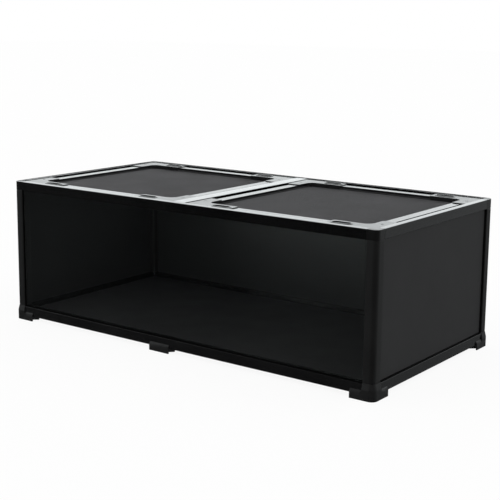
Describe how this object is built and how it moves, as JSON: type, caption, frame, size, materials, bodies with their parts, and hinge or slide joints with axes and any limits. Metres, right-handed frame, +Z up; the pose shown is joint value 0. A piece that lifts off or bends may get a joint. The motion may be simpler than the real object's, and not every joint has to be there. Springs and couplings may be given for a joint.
{
  "type": "reptile terrarium",
  "caption": "Low glass-fronted terrarium with opaque side and back panels, corner feet and lift-off mesh lids held by slide latches.",
  "frame": {"origin": "on the floor under the middle of the tank", "axes": "+X along the length to the right, seen from the glass front; +Y to the back; +Z up"},
  "size_m": [0.92, 0.463, 0.308],
  "materials": {
    "frame_metal": "semi-gloss black coated extrusion",
    "connector_plastic": "fine satin black moulding",
    "panel": "smooth satin black sheet",
    "glass": "clear polished sheet",
    "lid_metal": "semi-gloss black coated strip",
    "lid_corner_plastic": "semi-gloss black moulding",
    "mesh": "black coated woven wire",
    "spline": "matte black cord",
    "screw": "zinc plated",
    "latch_plastic": "semi-gloss black moulding"
  },
  "bodies": {
    "frame": {"bottom_rail_front": "frame_metal", "bottom_rail_back": "frame_metal", "bottom_rail_left": "frame_metal", "bottom_rail_right": "frame_metal", "top_rail_front": "frame_metal", "top_rail_back": "frame_metal", "top_rail_left": "frame_metal", "top_rail_right": "frame_metal", "centre_crossbar": "frame_metal", "corner_post_front_left": "frame_metal", "corner_post_front_right": "frame_metal", "corner_post_back_left": "frame_metal", "corner_post_back_right": "frame_metal", "top_corner_front_left": "connector_plastic", "top_corner_front_right": "connector_plastic", "top_corner_back_left": "connector_plastic", "top_corner_back_right": "connector_plastic", "corner_foot_front_left": "connector_plastic", "corner_foot_front_right": "connector_plastic", "corner_foot_back_left": "connector_plastic", "corner_foot_back_right": "connector_plastic", "middle_foot_front": "connector_plastic", "middle_foot_back": "connector_plastic", "front_glass": "glass", "back_panel": "panel", "left_panel": "panel", "right_panel": "panel", "base_panel": "panel", "frame_screws": "screw"},
    "left_lid": {"left_lid_strip_front": "lid_metal", "left_lid_strip_back": "lid_metal", "left_lid_strip_left": "lid_metal", "left_lid_strip_right": "lid_metal", "left_lid_corner_front_left": "lid_corner_plastic", "left_lid_corner_front_right": "lid_corner_plastic", "left_lid_corner_back_left": "lid_corner_plastic", "left_lid_corner_back_right": "lid_corner_plastic", "left_lid_mesh": "mesh", "left_lid_spline": "spline", "left_lid_screws": "screw"},
    "right_lid": {"right_lid_strip_front": "lid_metal", "right_lid_strip_back": "lid_metal", "right_lid_strip_left": "lid_metal", "right_lid_strip_right": "lid_metal", "right_lid_corner_front_left": "lid_corner_plastic", "right_lid_corner_front_right": "lid_corner_plastic", "right_lid_corner_back_left": "lid_corner_plastic", "right_lid_corner_back_right": "lid_corner_plastic", "right_lid_mesh": "mesh", "right_lid_spline": "spline", "right_lid_screws": "screw"},
    "left_lid_latch_front_left": {"left_lid_latch_front_left": "latch_plastic"},
    "left_lid_latch_front_right": {"left_lid_latch_front_right": "latch_plastic"},
    "left_lid_latch_back_left": {"left_lid_latch_back_left": "latch_plastic"},
    "left_lid_latch_back_right": {"left_lid_latch_back_right": "latch_plastic"},
    "right_lid_latch_front_left": {"right_lid_latch_front_left": "latch_plastic"},
    "right_lid_latch_front_right": {"right_lid_latch_front_right": "latch_plastic"},
    "right_lid_latch_back_left": {"right_lid_latch_back_left": "latch_plastic"},
    "right_lid_latch_back_right": {"right_lid_latch_back_right": "latch_plastic"}
  },
  "joints": [
    {"name": "left_lid_lift", "type": "slide", "parent": "frame", "child": "left_lid", "axis": [0, 0, 1], "range_m": [0, 0.15]},
    {"name": "right_lid_lift", "type": "slide", "parent": "frame", "child": "right_lid", "axis": [0, 0, 1], "range_m": [0, 0.15]},
    {"name": "left_lid_latch_front_left_slide", "type": "slide", "parent": "left_lid", "child": "left_lid_latch_front_left", "axis": [0, -1, 0], "range_m": [0, 0.006]},
    {"name": "left_lid_latch_front_right_slide", "type": "slide", "parent": "left_lid", "child": "left_lid_latch_front_right", "axis": [0, -1, 0], "range_m": [0, 0.006]},
    {"name": "left_lid_latch_back_left_slide", "type": "slide", "parent": "left_lid", "child": "left_lid_latch_back_left", "axis": [0, 1, 0], "range_m": [0, 0.006]},
    {"name": "left_lid_latch_back_right_slide", "type": "slide", "parent": "left_lid", "child": "left_lid_latch_back_right", "axis": [0, 1, 0], "range_m": [0, 0.006]},
    {"name": "right_lid_latch_front_left_slide", "type": "slide", "parent": "right_lid", "child": "right_lid_latch_front_left", "axis": [0, -1, 0], "range_m": [0, 0.006]},
    {"name": "right_lid_latch_front_right_slide", "type": "slide", "parent": "right_lid", "child": "right_lid_latch_front_right", "axis": [0, -1, 0], "range_m": [0, 0.006]},
    {"name": "right_lid_latch_back_left_slide", "type": "slide", "parent": "right_lid", "child": "right_lid_latch_back_left", "axis": [0, 1, 0], "range_m": [0, 0.006]},
    {"name": "right_lid_latch_back_right_slide", "type": "slide", "parent": "right_lid", "child": "right_lid_latch_back_right", "axis": [0, 1, 0], "range_m": [0, 0.006]}
  ]
}
